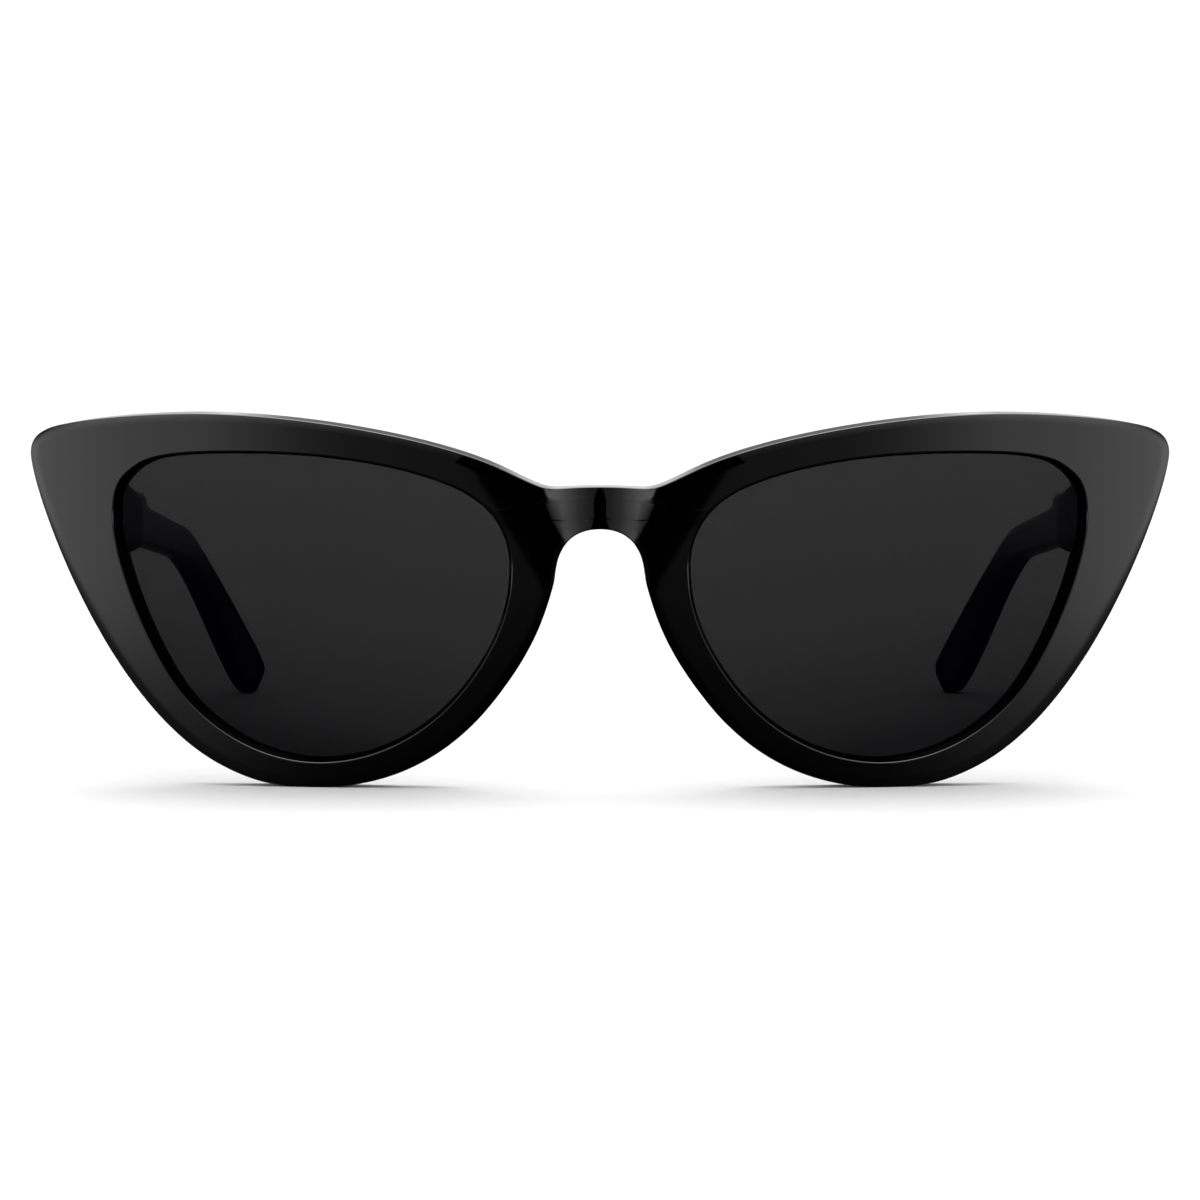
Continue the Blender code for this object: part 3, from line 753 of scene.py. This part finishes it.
BLOCK_INWARD = 2.4
BLOCK_FOOT = 2.6
BLOCK_LIFT = 0.6
BLOCK_CORNER_CUT = 2.9
BLOCK_ROUNDING = 1.7
FRONT_LEAF_LENGTH = 5.5

block_width = BLOCK_INWARD + TEMPLE_THICKNESS
block_top = TEMPLE_BUTT_HEIGHT / 2
block_bottom = BLOCK_LIFT - block_top


def quarter_round(steps):
    """How far a rounding of radius one still is from its corner's two sides, along its way."""
    turns = [math.radians(turn) for turn in np.linspace(0, 90, steps)]
    return [(1 - math.sin(turn), 1 - math.cos(turn)) for turn in turns]


outline = [(0.0, block_top - BLOCK_CORNER_CUT), (BLOCK_CORNER_CUT, block_top)]
outline += [(block_width - TEMPLE_EASING * x, block_top - TEMPLE_EASING * z) for x, z in quarter_round(5)]
outline += [(block_width - TEMPLE_EASING * x, block_bottom + TEMPLE_EASING * z) for z, x in quarter_round(5)]
outline += [(BLOCK_ROUNDING * x, block_bottom + BLOCK_ROUNDING * z) for x, z in quarter_round(9)]
rings = []
for part in (0.0, 0.25, 0.5, 0.75, 1.0):
    ring = []
    for x, z in outline:
        across = temple_inside - BLOCK_INWARD + x + BLOCK_FOOT * x / block_width * (1 - part)
        start = back_depth(across) + GLUE_GAP
        ring.append((across, start * (1 - part) + block_back * part, butt_level + z))
    rings.append(ring)
block = lofted("block", rings)
eased(block, 0.25)
half = HINGE_HEIGHT / 2 + INLAY_GAP
beside = LEAF_THICKNESS / 2 + INLAY_GAP
mortise = upright_box(
    (hinge_point.x - beside, block_back - FRONT_LEAF_LENGTH - INLAY_GAP, hinge_point.z - half),
    (hinge_point.x + beside, block_back + 1.0, hinge_point.z + half),
)
worked(block, [mortise], "DIFFERENCE")
for name, side in SIDES:
    node = f"{name}_end_block"
    stood(block, f"{name}_cemented_block", side, black_acetate, "front", node)
bpy.data.objects.remove(block)

# ---------------------------------------------------------------------------------------------------
# Hinges. Stamped and milled nickel silver leaves with five interleaved barrels, three on the front and
# two on the temple, tumbled to soft edges; a slotted steel screw goes down through them.
# ---------------------------------------------------------------------------------------------------

BARREL_COUNT = 5
BARREL_GAP = 0.06
SCREW_RADIUS = 0.6
PIN_GAP = 0.05
HEAD_RADIUS = 1.05
HEAD_HEIGHT = 0.55
SLOT_WIDTH = 0.28
SLOT_DEPTH = 0.26


def metal(name, colour, haze, grain_scale):
    """Tumbled or turned metal: fine scratches in its polish, and a tone that drifts a little."""
    material, finish = new_finish(name)
    place = finish.node("ShaderNodeTexCoord", out=3)
    stretched = finish.node("ShaderNodeMapping", sockets={"Vector": place, "Scale": (1.0, 1.0, 6.0)})
    grain = {"Vector": stretched, "Scale": grain_scale, "Detail": 5.0}
    scratches = finish.node("ShaderNodeTexNoise", sockets=grain)
    cloud = finish.node("ShaderNodeTexNoise", sockets={"Vector": place, "Scale": 700.0, "Detail": 2.0})
    dull = tuple(level * 0.72 for level in colour)
    tones = {0: cloud, 6: (*dull, 1), 7: (*colour, 1)}
    tone = finish.node("ShaderNodeMix", {"data_type": "RGBA"}, tones, out=2)
    depth = {"Height": scratches, "Strength": 0.5, "Distance": 0.000008}
    pits = finish.node("ShaderNodeBump", sockets=depth)
    shader = finish.node(
        "ShaderNodeBsdfPrincipled",
        sockets={"Base Color": tone, "Metallic": 1.0, "Roughness": haze + scratches * 0.16, "Normal": pits},
    )
    finish.node("ShaderNodeOutputMaterial", sockets={"Surface": shader})
    return material


nickel_silver = metal("nickel_silver_tumbled", (0.66, 0.63, 0.57), 0.2, 2600.0)
screw_steel = metal("screw_steel_turned", (0.58, 0.58, 0.6), 0.14, 3600.0)
wire_metal = metal("nickel_silver_drawn", (0.6, 0.56, 0.5), 0.25, 1500.0)


def barrel_span(index):
    """The foot and top of one barrel, counted from the bottom."""
    pitch = HINGE_HEIGHT / BARREL_COUNT
    foot = hinge_point.z - HINGE_HEIGHT / 2 + index * pitch
    return foot + BARREL_GAP / 2, foot + pitch - BARREL_GAP / 2


def hinge_leaf(plate, arm_low, arm_high, barrels):
    """A plate with an arm and a bored barrel at each of its places."""
    joined = []
    for index in barrels:
        foot, top = barrel_span(index)
        joined.append(eased(upright_barrel(BARREL_RADIUS, foot, top), 0.07, 2))
        joined.append(upright_box((*arm_low, foot), (*arm_high, top)))
    worked(plate, joined, "UNION")
    foot, top = hinge_point.z - HINGE_HEIGHT, hinge_point.z + HINGE_HEIGHT
    bore = upright_barrel(SCREW_RADIUS + PIN_GAP, foot, top)
    return worked(plate, [bore], "DIFFERENCE")


half = HINGE_HEIGHT / 2
beside = LEAF_THICKNESS / 2
edge = hinge_point.y - BARREL_RADIUS - SWING_GAP
plate = eased(
    upright_box(
        (hinge_point.x - beside, block_back - FRONT_LEAF_LENGTH, hinge_point.z - half),
        (hinge_point.x + beside, edge, hinge_point.z + half),
    ),
    0.1,
    2,
)
front_leaf = hinge_leaf(
    plate,
    (hinge_point.x - beside, edge - LEAF_THICKNESS),
    (hinge_point.x + beside, hinge_point.y),
    range(0, BARREL_COUNT, 2),
)
edge = hinge_point.y + BARREL_RADIUS + SWING_GAP
plate = eased(
    upright_box(
        (temple_inside, edge, hinge_point.z - half),
        (temple_inside + LEAF_THICKNESS, hinge_point.y + TEMPLE_LEAF_LENGTH, hinge_point.z + half),
    ),
    0.1,
    2,
)
temple_leaf = hinge_leaf(
    plate,
    (temple_inside - LEAF_THICKNESS / 2, hinge_point.y),
    (temple_inside + LEAF_THICKNESS / 2, edge + LEAF_THICKNESS),
    range(1, BARREL_COUNT, 2),
)

seat = barrel_span(BARREL_COUNT - 1)[1] + BARREL_GAP / 2
screw = eased(upright_barrel(HEAD_RADIUS, seat, seat + HEAD_HEIGHT, 48), 0.16, 4)
slot_cut = upright_box(
    (hinge_point.x - 1.5, hinge_point.y - SLOT_WIDTH / 2, seat + HEAD_HEIGHT - SLOT_DEPTH),
    (hinge_point.x + 1.5, hinge_point.y + SLOT_WIDTH / 2, seat + HEAD_HEIGHT + 0.5),
)
worked(screw, [slot_cut], "DIFFERENCE")
shank = eased(upright_barrel(SCREW_RADIUS, barrel_span(0)[0], seat + 0.1, 32), 0.06, 2)
worked(screw, [shank], "UNION")

for name, side in SIDES:
    node = f"{name}_front_leaf"
    stood(front_leaf, f"{name}_three_barrel_leaf", side, nickel_silver, "front", node)
    stood(screw, f"{name}_slotted_screw", side, screw_steel, "front", f"{name}_hinge_screw")
    arm, node = f"{name}_arm", f"{name}_temple_leaf"
    stood(temple_leaf, f"{name}_two_barrel_leaf", side, nickel_silver, arm, node)
    wire = frame["nodes"][f"{name}_core_wire"]
    wire.data.materials.clear()
    wire.data.materials.append(wire_metal)
for piece in (front_leaf, screw, temple_leaf):
    bpy.data.objects.remove(piece)

# ---------------------------------------------------------------------------------------------------
# Studio. A white table under a softbox, with pale cards at the sides and a bright strip behind that only
# the polished faces see, and the camera.
# ---------------------------------------------------------------------------------------------------

bpy.ops.object.select_all(action="DESELECT")
bpy.ops.mesh.primitive_plane_add(size=8.0, location=(0, 0, 0))
table = bpy.context.active_object
table.name = "table"
paper, finish = new_finish("white_table")
place = finish.node("ShaderNodeTexCoord", out=3)
grain = finish.node("ShaderNodeTexNoise", sockets={"Vector": place, "Scale": 300.0, "Detail": 2.0})
tones = {0: grain, 6: (0.86, 0.86, 0.86, 1), 7: (0.9, 0.9, 0.9, 1)}
tone = finish.node("ShaderNodeMix", {"data_type": "RGBA"}, tones, out=2)
shader = finish.node("ShaderNodeBsdfPrincipled", sockets={"Base Color": tone, "Roughness": 0.6})
finish.node("ShaderNodeOutputMaterial", sockets={"Surface": shader})
table.data.materials.append(paper)
table.visible_glossy = False

world = bpy.data.worlds.new("studio")
bpy.context.scene.world = world
world.use_nodes = True
room = Finish(world.node_tree)
direction = room.node("ShaderNodeTexCoord", out=0)
split = room.node("ShaderNodeSeparateXYZ", sockets={0: direction})
x, y, z = (Value(room, split.socket.node.outputs[axis]) for axis in range(3))
side_angle = room.node("ShaderNodeMath", {"operation": "ARCTAN2"}, {0: x, 1: y * -1.0})
side_angle = room.node("ShaderNodeMath", {"operation": "ABSOLUTE"}, {0: side_angle}) * (180 / math.pi)
rise = room.node("ShaderNodeMath", {"operation": "ARCSINE"}, {0: z}) * (180 / math.pi)


def ramp(value, low, high, stops):
    """The level read from stops along a value."""
    part = (value - low) / (high - low)
    settings = {"stops": [((place - low) / (high - low), level) for place, level in stops]}
    return room.node("ShaderNodeValToRGB", settings, {0: part})


def share_of(value, low, high):
    """Nought up to the low value, one from the high value, and straight between them."""
    return room.node("ShaderNodeMapRange", {"clamp": True}, {0: value, 1: low, 2: high, 3: 0.0, 4: 1.0})


low_cards = ramp(
    side_angle,
    0,
    180,
    (
        (0, 0.10),
        (5, 0.11),
        (9, 0.15),
        (13, 0.18),
        (16.2, 0.22),
        (19.4, 0.36),
        (22.6, 0.64),
        (26, 1.0),
        (31, 1.2),
        (36, 1.68),
        (41, 2.6),
        (60, 2.6),
        (90, 1.0),
        (125, 0.16),
        (180, 0.16),
    ),
)
high_cards = ramp(
    side_angle,
    0,
    180,
    (
        (0, 0.2),
        (7.6, 0.32),
        (15, 0.60),
        (23, 1.25),
        (29, 1.9),
        (35, 2.2),
        (38, 1.1),
        (40, 0.2),
        (50, 0.1),
        (80, 0.3),
        (125, 0.16),
        (180, 0.16),
    ),
)
behind = share_of(side_angle, 140.0, 165.0)
far_strip = ramp(
    rise,
    0,
    12,
    ((0, 0.5), (2, 0.65), (5.7, 0.7), (6.75, 1.1), (7.4, 0.7), (8.1, 0.3), (9, 0.22), (12, 0.1)),
)
high_cards = high_cards * (1.0 - behind) + far_strip * behind
lifted = share_of(rise, -4.0, 1.0)
cards = low_cards * (1.0 - lifted) + high_cards * lifted
falling = ramp(
    rise,
    -20,
    60,
    (
        (-20, 0.05),
        (-10.2, 0.13),
        (-9.6, 0.2),
        (-8.9, 0.38),
        (-8.4, 0.62),
        (-7.9, 0.88),
        (-7.3, 1.0),
        (12, 1.0),
        (30, 0.5),
        (60, 0.2),
    ),
)
# The dark card straight ahead is widest at its corner and narrows above and below it.
CARD_CORNER_SIDE = 9.4
above_corner = rise + 6.2
card_sides = {0: CARD_CORNER_SIDE + above_corner * 3.4, 1: CARD_CORNER_SIDE - above_corner * 0.4}
shadow_edge = room.node("ShaderNodeMath", {"operation": "MINIMUM"}, card_sides)
clear = share_of(side_angle - shadow_edge, -0.1, 0.1)
height = room.node("ShaderNodeMath", {"operation": "MAXIMUM"}, {0: z, 1: 0.01})
across = room.node("ShaderNodeMath", {"operation": "ABSOLUTE"}, {0: x / height})
along = y / height
across_share = 1.0 - share_of(across, 0.1, 1.5)
front_share = share_of(along, -0.75, -0.45)
back_share = 1.0 - share_of(along, 0.9, 1.3)
SOFTBOX_LEVEL = 9.0
softbox_glow = across_share * across_share * front_share * back_share * SOFTBOX_LEVEL
mirrored = cards * falling * clear + softbox_glow
CAMERA_LEVEL = 1.05
ROOM_LEVEL = 0.95
path_kind = room.node("ShaderNodeLightPath")
camera_ray = Value(room, path_kind.socket.node.outputs["Is Camera Ray"])
glossy_ray = Value(room, path_kind.socket.node.outputs["Is Glossy Ray"])
lighting = glossy_ray * mirrored + (1.0 - glossy_ray) * ROOM_LEVEL
strength = camera_ray * CAMERA_LEVEL + (1.0 - camera_ray) * lighting
sky = room.node("ShaderNodeBackground", sockets={"Color": (1, 1, 1, 1), "Strength": strength})
room.node("ShaderNodeOutputWorld", sockets={"Surface": sky})

softbox_data = bpy.data.lights.new("softbox", "AREA")
softbox_data.shape = "RECTANGLE"
softbox_data.size = 1.2
softbox_data.size_y = 0.9
softbox_data.energy = 5.0
softbox = bpy.data.objects.new("softbox", softbox_data)
softbox.location = (0, 0.1, 1.1)
softbox.visible_glossy = False
bpy.context.scene.collection.objects.link(softbox)

camera_data = bpy.data.cameras.new("camera")
camera_data.sensor_width = 36.0
camera_data.lens = 152.2
camera_data.clip_start = 0.01
camera = bpy.data.objects.new("camera", camera_data)
camera.location = (0, -0.7095, 0.0687)
camera.rotation_euler = (math.radians(86.0), 0, 0)
bpy.context.scene.collection.objects.link(camera)
bpy.context.scene.camera = camera
bpy.context.scene.view_settings.view_transform = "Standard"
